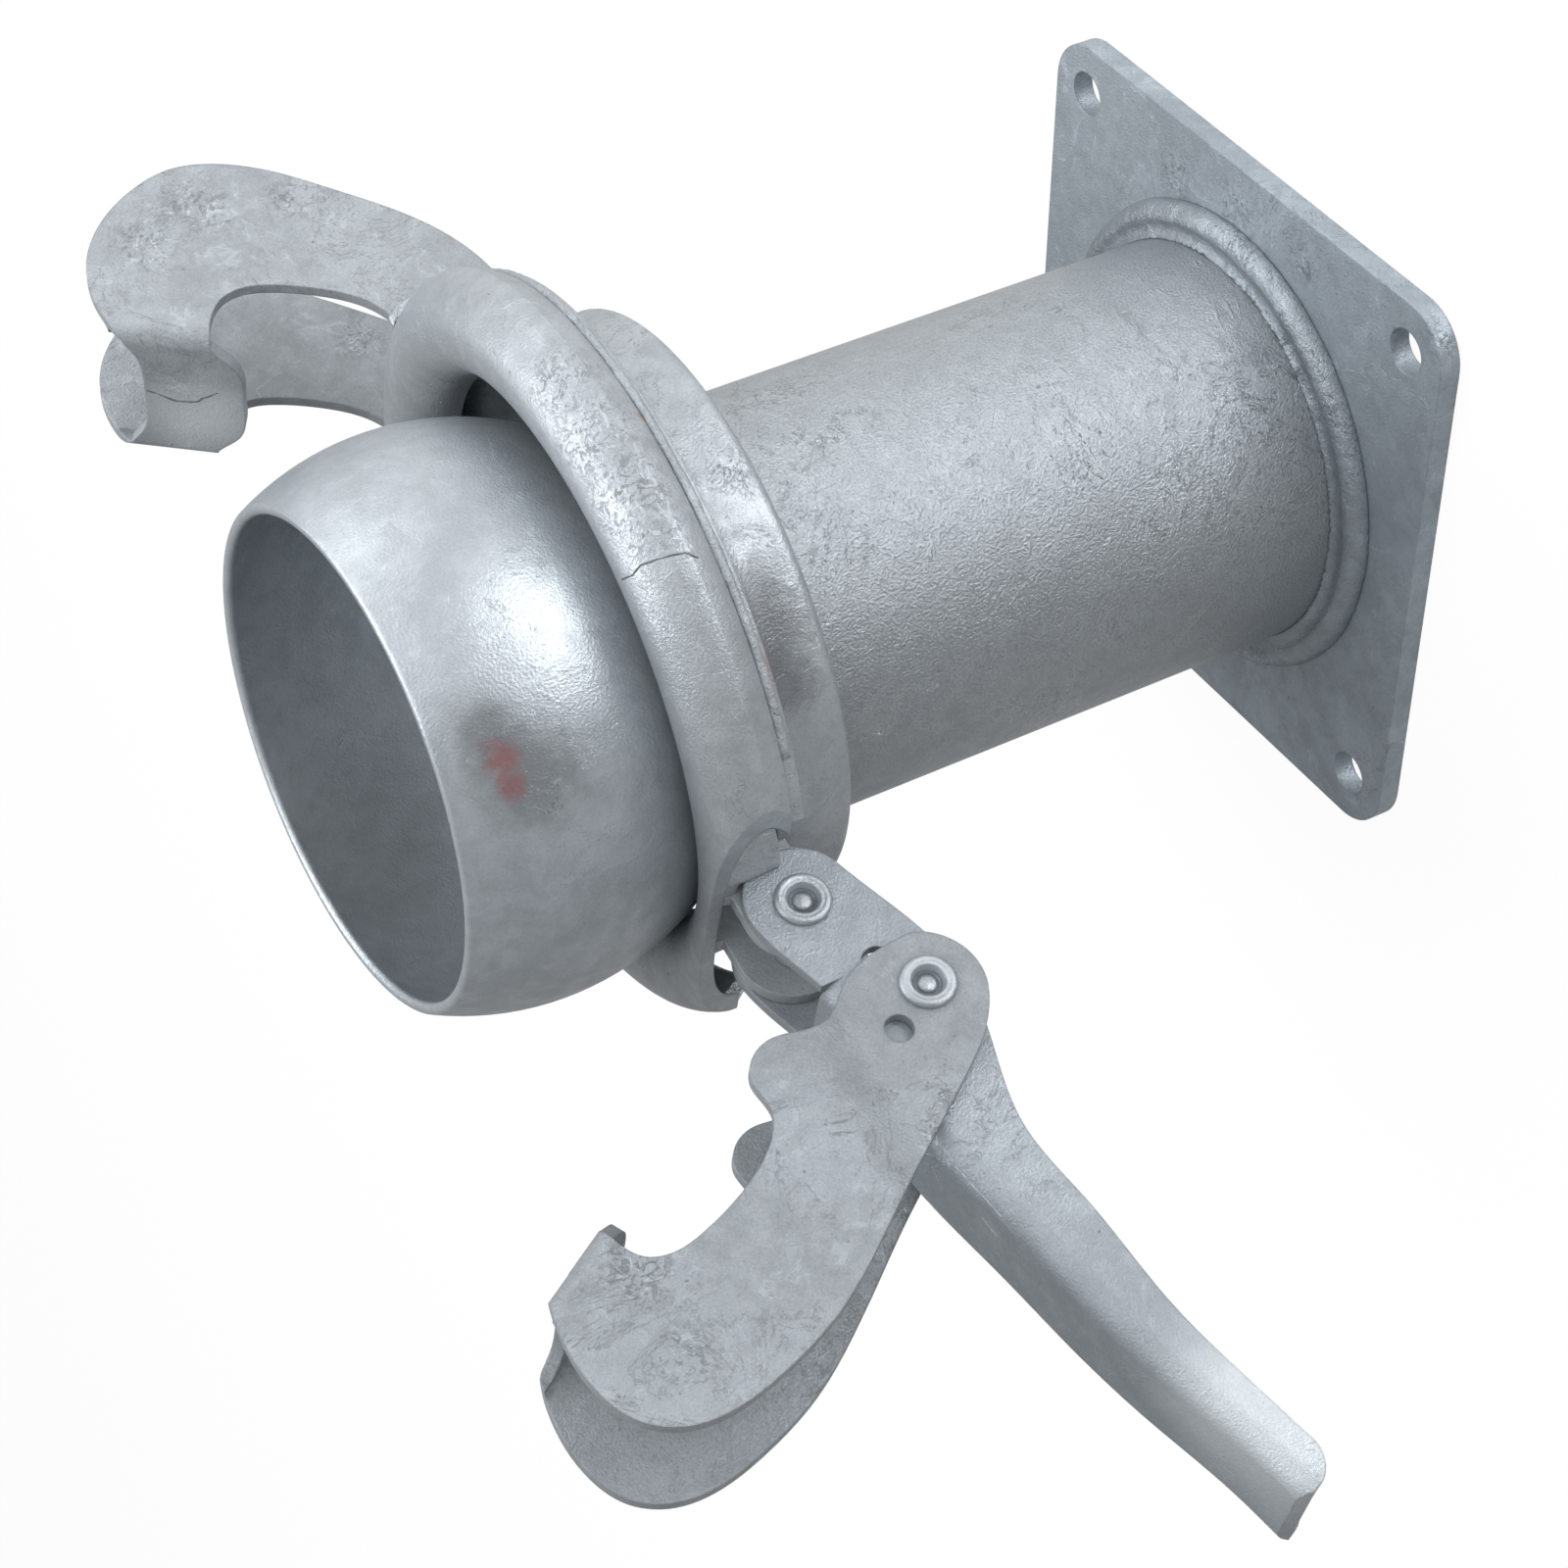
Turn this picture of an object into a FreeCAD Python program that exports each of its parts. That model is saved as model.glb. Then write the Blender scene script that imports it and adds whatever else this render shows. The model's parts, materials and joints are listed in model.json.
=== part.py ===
import FreeCAD, Part
import math
import os

# Lever lock flange adapter, male half, in millimetres.
# The part stands on the back face of its square flange: the origin is the centre of
# that face and +Z runs along the pipe towards the ball. The closing ring hangs loose
# round the pipe, a little off centre and out of square, so everything it carries is
# drawn in the ring's own frame (x towards the lever lug, y along the rivets,
# z along the ring's axis) and then placed.

V = FreeCAD.Vector
X = V(1, 0, 0)
Y = V(0, 1, 0)
Z = V(0, 0, 1)

# flange and pipe
pipe_r = 54.0
flange_side = pipe_r * 2 + 52.5
flange_t = 5.8
flange_corner = 14.0
bolt_inset = 13.4
bolt_spacing = flange_side - 2 * bolt_inset
bolt_hole_r = 5.9
pipe_wall = 3.0
pipe_bottom = 1.6
weld_foot = 9.6
weld_toe = 5.8

# ball head
ball_r = pipe_r + 17.3
ball_wall = 3.0
ball_z = flange_t + 221.8
mouth_z = flange_t + 254.2
neck_depth = 3.2
ball_weld_r = 3.4

# where the closing ring hangs
ring_x = -4.0
ring_y = 4.7
ring_z = flange_t + 179.0
ring_tilt = 4.55
tilt_towards = 243.1
lug_turn = -17.2

# closing ring, rear half: a flanged sleeve with a turned in lip
sheet = 3.6
sleeve_r = pipe_r + 21.3
flare_bend = 9.0
sleeve_end = -25.1
lip_bend = 3.5
lip_hole_r = pipe_r + 7.8
# closing ring, front half: a half round hood
hood_bend_z = 6.0
hood_bend_r = sleeve_r + 7.2
hood_r = 13.1
hood_edge_r = hood_bend_r + 9.9
flare_r = hood_edge_r - 1.4
notch_x = hood_bend_r + 1.0
seam_bead = 1.5
slot_back = 38.0
square_cut = 3.5

# lug, lever and rivets
rivet1_x = notch_x + 9.0
rivet1_z = -0.3
rivet2_x = rivet1_x + 32.8
rivet2_z = rivet1_z - 13.9
shank_r = 4.5
running_gap = 0.05
side_gap = 0.3
head_r = 6.7
head_h = 1.5
ear_out = 12.0
ear_t = 3.5
weld_spread = 15.0
far_weld_spread = 6.0
lever_t = 3.0
lever_in = ear_out + side_gap
lever_out = lever_in + lever_t
link_end_r = 12.8
lever_bend = 6.0
web_start_x = rivet1_x + 21.5
lever_hole_x = rivet1_x + 21.3
lever_hole_z = rivet1_z - 7.8
lever_hole_r = 3.8

# hooks
hook_t = 3.2
hook_out = 25.0
swing_out = 23.5
hook_bend = 5.0
neck_in = lever_out + side_gap
neck_out = neck_in + hook_t
joggle_from = 3.0
joggle_to = 24.0
small_hole_x = rivet2_x + 7.2
small_hole_z = rivet2_z + 11.6
small_hole_r = 3.5
lobe = 7.4
recess = 4.8
fixed_lean = 1.4
fixed_foot_x = -hood_bend_r - 9.5
fixed_foot_z = hood_bend_z


def ring_frame():
    """The ring's three axes in the part's frame: lug direction, rivet direction, own axis."""
    tilt = math.radians(ring_tilt)
    way = math.radians(tilt_towards)
    turn = math.radians(lug_turn)
    axis = V(math.sin(tilt) * math.cos(way), math.sin(tilt) * math.sin(way), math.cos(tilt))
    across = V(-math.sin(turn), math.cos(turn), 0)
    across = across - axis * across.dot(axis)
    across.normalize()
    return across.cross(axis), across, axis


def placed(shape):
    """Moves a shape from the ring's frame to the part's frame."""
    lug, across, axis = ring_frame()
    m = FreeCAD.Matrix(
        lug.x, across.x, axis.x, ring_x,
        lug.y, across.y, axis.y, ring_y,
        lug.z, across.z, axis.z, ring_z,
        0, 0, 0, 1,
    )
    out = shape.copy()
    out.Placement = FreeCAD.Placement(m).multiply(out.Placement)
    return out


def save(shape, name):
    """Checks one solid or group of solids and writes it."""
    shape = shape.removeSplitter()
    if not shape.isValid():
        print("not valid:", name)
    print(name, len(shape.Solids), "solid", round(shape.Volume), "mm3")
    shape.exportStep("parts/" + name + ".step")


def line(a, b):
    return Part.makeLine(a, b)


def arc(a, b, c):
    return Part.Arc(a, b, c).toShape()


def spline(points):
    curve = Part.BSplineCurve()
    curve.interpolate(points)
    return curve.toShape()


def spun(edges):
    """Turns a closed profile, drawn in the XZ plane, about the Z axis."""
    face = Part.Face(Part.Wire(edges))
    return face.revolve(V(0, 0, 0), Z, 360)


def measured_from(x, z):
    """Gives points in the plane of the rivets by their distance from x, z."""
    return lambda u, w: V(x + u, 0, z + w)


def polygon(points):
    return Part.makePolygon(points + [points[0]])


def slab(wire, low, high):
    """Prism of an outline drawn at y = 0, from y = low to y = high."""
    solid = Part.Face(wire).extrude(V(0, high - low, 0))
    solid.translate(V(0, low, 0))
    return solid


def box(x0, x1, y0, y1, z0, z1):
    return Part.makeBox(x1 - x0, y1 - y0, z1 - z0, V(x0, y0, z0))


def rod(radius, x, z, y0, y1):
    return Part.makeCylinder(radius, y1 - y0, V(x, y0, z), Y)


def rounded(solid, test, radius):
    """Rounds the edges of a solid for which test is true."""
    edges = [e for e in solid.Edges if test(e)]
    return solid.makeFillet(radius, edges)


def flange_plate():
    half = flange_side / 2
    plate = box(-half, half, -half, half, 0, flange_t)
    plate = rounded(plate, lambda e: abs(e.BoundBox.ZLength - flange_t) < 0.01, flange_corner)
    for sx in (-1, 1):
        for sy in (-1, 1):
            at = V(sx * bolt_spacing / 2, sy * bolt_spacing / 2, 0)
            plate = plate.cut(Part.makeCylinder(bolt_hole_r, flange_t, at))
    return plate.cut(Part.makeCylinder(pipe_r, flange_t))


def pipe_tube():
    top = neck_z() + 4.5
    tube = Part.makeCylinder(pipe_r, top - pipe_bottom, V(0, 0, pipe_bottom))
    bore = Part.makeCylinder(pipe_r - pipe_wall, top, V(0, 0, 0))
    return tube.cut(bore)


def neck_z():
    """Height at which the outside of the ball meets the outside of the pipe."""
    return ball_z - math.sqrt(ball_r ** 2 - pipe_r ** 2)


def flange_weld():
    """Fillet with a raised crown, undercut a little where it meets the pipe."""
    corner = V(pipe_r, 0, flange_t)
    foot = V(pipe_r + weld_foot, 0, flange_t)
    crown = V(pipe_r + weld_foot * 0.5, 0, flange_t + weld_toe * 0.84)
    toe = V(pipe_r, 0, flange_t + weld_toe)
    out = V(pipe_r + weld_foot * 0.84, 0, flange_t + weld_toe * 0.62)
    dip = V(pipe_r + weld_foot * 0.24, 0, flange_t + weld_toe * 0.76)
    return spun([line(corner, foot), arc(foot, out, crown), arc(crown, dip, toe), line(toe, corner)])


def pipe_end_weld():
    """Seal weld between the pipe's end and the flange bore, just inside the back face."""
    inner = pipe_r - pipe_wall
    a = V(inner, 0, pipe_bottom)
    b = V(pipe_r, 0, pipe_bottom)
    c = V(pipe_r, 0, 0.3)
    return spun([line(a, b), line(b, c), arc(c, V(inner + 1.9, 0, 0.75), a)])


def ball_cup():
    """Pressed ball: a spherical shell, open at the mouth, its neck edge round the pipe."""
    inner_r = ball_r - ball_wall
    low = neck_z()
    mouth_r = math.sqrt(ball_r ** 2 - (mouth_z - ball_z) ** 2)
    shell = Part.makeSphere(ball_r, V(0, 0, ball_z))
    shell = shell.cut(Part.makeSphere(inner_r, V(0, 0, ball_z)))
    shell = shell.cut(box(-99, 99, -99, 99, mouth_z, mouth_z + 99))
    shell = shell.cut(Part.makeCylinder(pipe_r, ball_r, V(0, 0, ball_z - ball_r - 1)))
    edge = [e for e in shell.Edges if abs(e.BoundBox.ZMin - mouth_z) < 0.01 and e.BoundBox.ZLength < 0.01]
    return shell.makeFillet(1.2, edge)


def ball_weld():
    low = neck_z()
    bead = Part.makeTorus(pipe_r + ball_weld_r * 0.62, ball_weld_r, V(0, 0, low - 1.2))
    bead = bead.cut(Part.makeCylinder(pipe_r, 40, V(0, 0, low - 20)))
    return bead.cut(Part.makeSphere(ball_r, V(0, 0, ball_z)))


def hood_profile(off):
    """Arc ends of the hood's section, off millimetres inside its outer skin."""
    r = hood_r - off
    crest = V(hood_bend_r + r, 0, hood_bend_z)
    front = V(hood_bend_r, 0, hood_bend_z + r)
    inner = V(hood_bend_r - r, 0, hood_bend_z)
    edge = V(hood_edge_r - off, 0, 0)
    return crest, front, inner, edge


def hood_full():
    c1, f1, i1, e1 = hood_profile(0)
    c2, f2, i2, e2 = hood_profile(sheet)
    dip = hood_bend_z / 2
    m1 = V((c1.x * 2 + e1.x) / 3 - 0.2, 0, dip)
    m2 = V((c2.x * 2 + e2.x) / 3 - 0.2, 0, dip)
    return spun([arc(e1, m1, c1), arc(c1, f1, i1), line(i1, i2), arc(i2, f2, c2),
                 arc(c2, m2, e2), line(e2, e1)])


def notch():
    """The flat cut across the ring where the lever lug stands."""
    return box(notch_x, notch_x + 40, -60, 60, -12, 40)


def ring_hood():
    """The hood, with the far end of its notch cut square through the outer wall."""
    end = math.sqrt((hood_bend_r + hood_r) ** 2 - notch_x ** 2) + square_cut
    square = box(notch_x - 8, notch_x + 40, -end, -end / 2, -12, hood_bend_z)
    return hood_full().cut(notch()).cut(square)


def sleeve_full():
    t = sheet
    rin = sleeve_r - t
    b = flare_bend
    e = sleeve_end
    k = 1 - math.sqrt(0.5)
    p = [V(flare_r, 0, 0), V(flare_r, 0, -t), V(sleeve_r + b, 0, -t),
         V(sleeve_r + b * k, 0, -t - b * k), V(sleeve_r, 0, -t - b)]
    q = [V(sleeve_r, 0, e + lip_bend), V(sleeve_r - lip_bend * k, 0, e + lip_bend * k),
         V(sleeve_r - lip_bend, 0, e), V(lip_hole_r, 0, e), V(lip_hole_r, 0, e + t)]
    r = [V(rin, 0, e + t), V(rin, 0, -t - b), V(rin + (b + t) * k, 0, -(b + t) * k),
         V(sleeve_r + b, 0, 0)]
    return spun([line(p[0], p[1]), line(p[1], p[2]), arc(p[2], p[3], p[4]), line(p[4], q[0]),
                 arc(q[0], q[1], q[2]), line(q[2], q[3]), line(q[3], q[4]), line(q[4], r[0]),
                 line(r[0], r[1]), arc(r[1], r[2], r[3]), line(r[3], p[0])])


def lug_slot():
    """Opening through the rear flange, cut back further on the far side of the lug."""
    half = math.sqrt(flare_r ** 2 - notch_x ** 2)
    low = rivet1_z - link_end_r - 2.5
    behind = box(sleeve_r - slot_back, notch_x + 20, -half - slot_back, 0, low, 4.6)
    return box(sleeve_r - 1.5, notch_x + 20, -half, half, low, 4.6).fuse(behind)


def ring_sleeve():
    body = sleeve_full().cut(notch())
    core = Part.makeCylinder(sleeve_r, 40, V(0, 0, sleeve_end))
    return body.cut(lug_slot().cut(core))


def ring_seam_weld():
    bead = Part.makeTorus(flare_r + 0.2, seam_bead, V(0, 0, -1.2))
    bead = bead.cut(sleeve_full()).cut(hood_full()).cut(notch()).cut(lug_slot())
    return bead.cut(box(notch_x - 8, notch_x + 40, -60, 60, -12, 12))


def ear(side):
    """One of the two lug ears, its foot shaped to the ring it's welded to."""
    x, z = rivet1_x, rivet1_z
    foot = sleeve_r - 5.3
    front = z + 13.3
    rear = z - 13.6
    wire = Part.Wire([
        line(V(foot, 0, rear + 8), V(x - 15.5, 0, rear + 8)),
        arc(V(x - 15.5, 0, rear + 8), V(x - 10.5, 0, rear + 2.7), V(x - 1, 0, rear)),
        arc(V(x - 1, 0, rear), V(x + 12.0, 0, z - 1.0), V(x, 0, front)),
        line(V(x, 0, front), V(x - 9.5, 0, front)),
        line(V(x - 9.5, 0, front), V(x - 11.5, 0, front + 7)),
        line(V(x - 11.5, 0, front + 7), V(foot, 0, front + 7)),
        line(V(foot, 0, front + 7), V(foot, 0, rear + 8)),
    ])
    low = ear_out - ear_t if side > 0 else -ear_out
    plate = slab(wire, low, low + ear_t)
    plate = plate.cut(Part.makeCylinder(sleeve_r, 40, V(0, 0, sleeve_end)))
    inside = Part.makeCylinder(hood_bend_r - hood_r + sheet, 40, V(0, 0, 0))
    plate = plate.cut(inside).cut(ring_hood()).cut(ring_sleeve())
    plate = plate.cut(rod(shank_r + running_gap, x, z, -40, 40))
    return max(plate.Solids, key=lambda q: q.Volume)


def ear_weld(side):
    """Weld metal that fills the corner between an ear's outer face and the hood."""
    front = notch_x - 0.8
    deep = sleeve_r - 2
    wide = weld_spread if side > 0 else far_weld_spread
    plan = [V(front, ear_out, -4), V(front, ear_out + wide * 0.35, -4), V(front - 2.5, ear_out + wide * 0.7, -4),
            V(front - 6.0, ear_out + wide, -4), V(deep, ear_out + wide, -4), V(deep, ear_out, -4)]
    bead = Part.Face(polygon(plan)).extrude(V(0, 0, 24))
    bead = bead.common(Part.makeTorus(hood_bend_r, hood_r - sheet / 2, V(0, 0, hood_bend_z)))
    bead = bead.cut(hood_full()).cut(sleeve_full())
    bead = bead.cut(rod(link_end_r + 2.4, rivet1_x, rivet1_z, ear_out - 5, lever_out + side_gap))
    bead = max(bead.Solids, key=lambda q: q.Volume)
    if side < 0:
        bead = bead.mirror(V(0, 0, 0), Y)
    return bead


def lever_edges():
    """The lever's two long edges: the rear one, and the front one carrying the web."""
    at = measured_from(rivet1_x, rivet1_z)
    rear = [at(-6.5, -11.8), at(7.8, -17.2), at(19.2, -21.3), at(35.5, -23.7),
            at(55.0, -19.8), at(72.5, -16.7), at(94.0, -19.8), at(123.7, -23.6),
            at(150.6, -30.4), at(163.0, -33.9)]
    front = [at(173.9, -25.5), at(161.4, -22.2), at(137.3, -13.9), at(114.2, -7.3),
             at(92.4, -2.3), at(67.2, 3.7), at(43.5, 5.7), at(23.5, 6.5),
             at(12.8, 10.1), at(1.5, 13.2)]
    return rear, front


def beside(points, d):
    """The same run of points, moved d millimetres square to its own direction."""
    moved = []
    for i, p in enumerate(points):
        before = points[max(i - 1, 0)]
        after = points[min(i + 1, len(points) - 1)]
        along = after - before
        along.normalize()
        moved.append(V(p.x + along.z * d, 0, p.z - along.x * d))
    return moved


def lever_blank(depth, half_width, bend):
    """Everything behind the lever's web, depth millimetres in, with its two bends."""
    front = beside(lever_edges()[1], -depth)
    near = rivet1_x - 42.5
    away = rivet1_x + 197.5
    start = V(away, 0, front[0].z - 6.6)
    end = V(near, 0, front[-1].z + 7.0)
    low = [V(near, 0, -110.0), V(away, 0, -110.0)]
    wire = Part.Wire([spline([start] + front + [end]), line(end, low[0]),
                      line(low[0], low[1]), line(low[1], start)])
    block = slab(wire, -half_width, half_width)
    return rounded(block, lambda e: e.BoundBox.YLength < 0.01 and e.BoundBox.ZMax > -5
                   and e.BoundBox.XLength > away - near - 10, bend)


def lever_outline():
    at = measured_from(rivet1_x, rivet1_z)
    rear, front = lever_edges()
    nose = V(rivet1_x - 1.5 - link_end_r, 0, rivet1_z + 0.5)
    tip = at(175.1, -28.7)
    low = at(173.7, -31.7)
    return Part.Wire([spline(rear), arc(rear[-1], at(169.9, -34.3), low), line(low, tip),
                      line(tip, front[0]), spline(front), arc(front[-1], nose, rear[0])])


def lever_handle():
    """Lever pressed as one channel: two link plates that run on into the handle."""
    plain = slab(lever_outline(), -lever_out, lever_out)
    folded = plain.common(lever_blank(0, lever_out, lever_bend))
    links = plain.common(box(rivet1_x - 42.5, web_start_x, -99, 99, -99, 99))
    body = folded.fuse(links)
    body = body.cut(lever_blank(lever_t, lever_in, lever_bend - lever_t))
    body = body.cut(box(rivet1_x - 42.5, web_start_x, -lever_in, lever_in, -60, 60))
    body = body.cut(rod(shank_r, rivet1_x, rivet1_z, -40, 40))
    body = body.cut(rod(shank_r + running_gap, rivet2_x, rivet2_z, -40, 40))
    return body.cut(rod(lever_hole_r, lever_hole_x, lever_hole_z, -40, 40))


def rivet(x, z, out):
    """Through rivet with a low rounded head and a dished recess at each end."""
    shank = rod(shank_r, x, z, -out, out)
    for way in (-1, 1):
        head = Part.makeCylinder(head_r, head_h, V(x, way * out, z), V(0, way, 0))
        top = way * (out + head_h)
        rim = [e for e in head.Edges if e.BoundBox.YLength < 0.01 and abs(e.BoundBox.YMin - top) < 0.01]
        head = head.makeFillet(head_h * 0.6, rim)
        shank = shank.fuse(head)
        low = V(x, way * (out - 1.2), z)
        shank = shank.cut(Part.makeCone(3.1, 4.2, head_h + 1.3, low, V(0, way, 0)))
    return shank


def lever_rivet():
    return rivet(rivet1_x, rivet1_z, lever_out)


def hook_rivet():
    return rivet(rivet2_x, rivet2_z, neck_out)


def envelope(neck, wide):
    """Block whose half width grows smoothly from neck to wide across the joggle."""
    x = -200
    low = [V(x, -neck, -90), V(x, neck, -90)]
    narrow = [V(x, -neck, joggle_from), V(x, neck, joggle_from)]
    broad = [V(x, -wide, joggle_to), V(x, wide, joggle_to)]
    top = [V(x, -wide, 140), V(x, wide, 140)]
    bends = []
    for a, b in zip(narrow, broad):
        curve = Part.BSplineCurve()
        curve.interpolate([a, (a + b) * 0.5, b], InitialTangent=Z, FinalTangent=Z)
        bends.append(curve.toShape())
    wire = Part.Wire([line(low[0], narrow[0]), bends[0], line(broad[0], top[0]), line(top[0], top[1]),
                      line(top[1], broad[1]), bends[1], line(narrow[1], low[1]), line(low[1], low[0])])
    return Part.Face(wire).extrude(V(440, 0, 0))


def folded_hook(outline, nose, tip, half, neck):
    """Hook folded from one sheet: two cheeks and the web between nose and tip.

    The web's tongue stands out past the cheeks at the tip and is cut back at the nose.
    """
    solid = slab(outline, -half, half)

    def fold(e):
        ends = [v.Point for v in e.Vertexes]
        if len(ends) != 2 or abs(ends[0].y - ends[1].y) > 0.01:
            return False
        return all(min((p - V(q.x, p.y, q.z)).Length for q in (nose, tip)) < 0.01 for p in ends)

    solid = rounded(solid, fold, hook_bend)
    along = tip - nose
    along.normalize()
    inward = V(along.z, 0, -along.x)
    if inward.dot(outline.BoundBox.Center - nose) < 0:
        inward = inward * -1
    room = half - hook_t
    p = nose - along * 70 + inward * hook_t
    q = tip + along * 170 + inward * hook_t
    void = Part.Face(polygon([p, q, q + inward * 200, p + inward * 200])).extrude(V(0, room * 2, 0))
    void.translate(V(0, -room, 0))
    corner = [e for e in void.Edges if e.BoundBox.YLength < 0.01
              and all(abs((v.Point - p).dot(inward)) < 0.01 for v in e.Vertexes)]
    void = void.makeFillet(hook_bend - hook_t, corner)
    if neck:
        solid = solid.common(envelope(neck_out, half))
        void = void.common(envelope(neck_in, room))
    shell = solid.cut(void)

    def web_piece(base, reach, start, thick):
        run = [V(0, start * w, 0) for w in (1.0, 0.9, 0.7, 0.5, 0.0)]
        grow = [0.0, 0.22, 0.72, 0.95, 1.0]
        side = [base + along * (reach * g) + v for v, g in zip(run, grow)]
        other = [V(v.x, -v.y, v.z) for v in side[:-1]]
        curve = spline(side + other[::-1])
        back = [base - along * 12 * reach / abs(reach) + V(0, w * start, 0) for w in (1, -1)]
        wire = Part.Wire([curve, line(other[0], back[1]), line(back[1], back[0]), line(back[0], side[0])])
        return Part.Face(wire).extrude(inward * thick)

    flat = half - hook_bend
    tongue = web_piece(tip, lobe, flat + 1.0, hook_t)
    bite = web_piece(nose - inward * 1.0, recess, room - 0.2, hook_t + 1.0)
    return shell.fuse(tongue).cut(bite)


def moving_hook():
    """Swinging hook on the lever's second rivet."""
    at = measured_from(rivet2_x, rivet2_z)
    nose = at(31.9, 113.4)
    tip = at(21.8, 95.7)
    head = [at(-13.2, -3.4), at(-7.3, -10.8), at(6.2, -12.4)]
    back = [head[2], at(15.9, -6.0), at(24.3, 4.3), at(37.9, 23.5), at(51.9, 42.0),
            at(63.7, 60.2), at(70.0, 76.7), at(72.7, 90.3), at(71.4, 101.2),
            at(65.8, 109.5), at(57.1, 113.9), at(45.1, 115.4), nose]
    throat = [tip, at(28.1, 94.1), at(33.1, 90.5), at(34.9, 84.2), at(33.5, 76.3),
              at(28.5, 63.6), at(22.4, 54.3), at(16.5, 49.5)]
    front = [throat[-1], at(10.7, 49.1), at(5.7, 49.5), at(1.0, 46.6),
             at(-1.3, 41.0), at(-0.4, 33.5), at(-1.3, 26.1), at(-5.3, 20.8),
             at(-9.5, 15.6), at(-12.5, 6.7), head[0]]
    outline = Part.Wire([arc(head[0], head[1], head[2]), spline(back), line(nose, tip),
                         spline(throat), spline(front)])
    hook = folded_hook(outline, nose, tip, swing_out, True)
    hook = hook.cut(rod(shank_r, rivet2_x, rivet2_z, -40, 40))
    return hook.cut(rod(small_hole_r, small_hole_x, small_hole_z, -40, 40))


def leaned(shape):
    """Tips the fixed hook a little sideways about its foot, as it was welded."""
    out = shape.copy()
    out.rotate(V(fixed_foot_x, 0, fixed_foot_z), X, fixed_lean)
    return out


def fixed_hook():
    """Hook welded to the ring opposite the lever."""
    at = measured_from(fixed_foot_x, fixed_foot_z)
    nose = at(-24.5, 69.0)
    tip = at(-12.1, 50.5)
    root = at(1.0, 7.0)
    outer = [at(-2.0, -21.5), at(-25.7, -10.9), at(-42.9, 3.8), at(-51.7, 12.1),
             at(-61.2, 24.6), at(-65.3, 37.5), at(-63.0, 49.0), at(-56.6, 60.0),
             at(-46.6, 67.9), at(-35.8, 70.5), nose]
    throat = [tip, at(-18.8, 47.2), at(-23.0, 42.4), at(-23.7, 36.0), at(-21.4, 29.5),
              at(-15.5, 19.8), at(-8.4, 11.8), root]
    low = at(14.0, -21.5)
    up = at(14.0, 7.0)
    outline = Part.Wire([spline(outer), line(nose, tip), spline(throat), line(root, up),
                         line(up, low), line(low, outer[0])])
    hook = leaned(folded_hook(outline, nose, tip, hook_out, False))
    core = Part.makeCylinder(hood_bend_r, 60, V(0, 0, -40))
    hook = hook.cut(hood_full()).cut(sleeve_full()).cut(ring_seam_weld()).cut(core)
    return max(hook.Solids, key=lambda q: q.Volume)


def fixed_hook_welds():
    """Fillet along the outer foot of each cheek, laid on the hood."""
    grow = 2.4
    thick = Part.makeTorus(hood_bend_r, hood_r + grow, V(0, 0, hood_bend_z))
    thick = thick.cut(Part.makeTorus(hood_bend_r, hood_r - 0.6, V(0, 0, hood_bend_z)))
    beads = []
    for way in (1, -1):
        low = hook_out if way > 0 else -hook_out - grow
        strip = leaned(box(fixed_foot_x - 18, fixed_foot_x + 14, low, low + grow, 0.5, 15.0))
        strip = strip.common(thick).cut(hood_full())
        beads.append(max(strip.Solids, key=lambda q: q.Volume))
    return Part.makeCompound(beads)


os.makedirs("parts", exist_ok=True)

fixed_parts = [
    ("flange_plate", flange_plate), ("pipe_tube", pipe_tube), ("flange_weld", flange_weld),
    ("pipe_end_weld", pipe_end_weld), ("ball_cup", ball_cup), ("ball_weld", ball_weld),
]
ring_parts = [
    ("ring_hood", ring_hood), ("ring_sleeve", ring_sleeve), ("ring_seam_weld", ring_seam_weld),
    ("lug_ear_near", lambda: ear(1)), ("lug_ear_far", lambda: ear(-1)),
    ("lug_weld_near", lambda: ear_weld(1)), ("lug_weld_far", lambda: ear_weld(-1)),
    ("fixed_hook", fixed_hook), ("fixed_hook_welds", fixed_hook_welds),
    ("lever_handle", lever_handle), ("lever_rivet", lever_rivet),
    ("moving_hook", moving_hook), ("hook_rivet", hook_rivet),
]
for name, make in fixed_parts:
    save(make(), name)
for name, make in ring_parts:
    save(placed(make()), name)
lug, across, axis = ring_frame()
centre = V(ring_x, ring_y, ring_z)
for label, x, z in (("lever pivot", rivet1_x, rivet1_z), ("hook pivot", rivet2_x, rivet2_z)):
    at = (centre + lug * x + axis * z) * 0.001
    print(label, [round(v, 6) for v in at], "axis", [round(v, 6) for v in across])
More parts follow.
